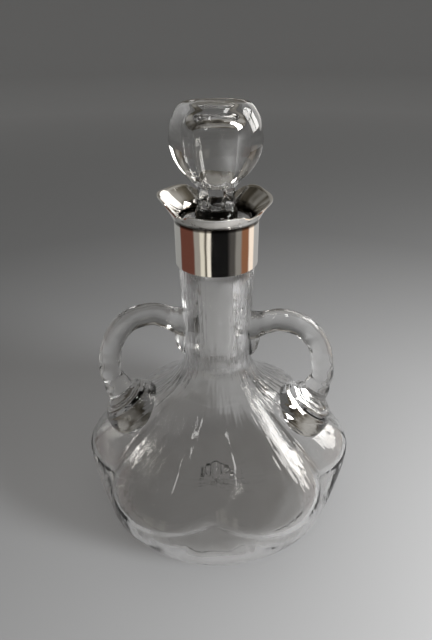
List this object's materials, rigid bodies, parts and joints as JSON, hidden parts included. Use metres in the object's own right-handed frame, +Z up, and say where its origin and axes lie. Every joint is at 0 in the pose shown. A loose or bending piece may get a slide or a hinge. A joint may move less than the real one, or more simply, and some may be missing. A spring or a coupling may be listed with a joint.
{
  "type": "decanter",
  "caption": "Melon-shaped clear glass decanter with two loop handles, a silver collar with a lobed pouring lip, and a globe stopper that lifts out of the ground neck.",
  "frame": {"origin": "centre of the flat underside of the base, on the axis of the neck", "axes": "+Z up along the neck; the handles lie on the X axis, the taller one at -X; -Y is the front, over which the front spout pours"},
  "size_m": [0.154, 0.1428, 0.2279],
  "materials": {
    "clear_glass": "colourless, fire-polished and hand-polished",
    "polished_silver": "mirror-polished silver with light handling marks",
    "plaster": "matt white plaster bed, hidden under the collar"
  },
  "bodies": {
    "vessel": {"glass_vessel": "clear_glass", "left_handle": "clear_glass", "left_handle_pad": "clear_glass", "right_handle": "clear_glass", "right_handle_pad": "clear_glass", "collar_band": "polished_silver", "collar_plaster": "plaster", "pouring_lip": "polished_silver"},
    "stopper": {"stopper": "clear_glass"}
  },
  "joints": [
    {"name": "stopper_lift", "type": "slide", "parent": "vessel", "child": "stopper", "axis": [0, 0, 1], "range_m": [0, 0.042]}
  ]
}
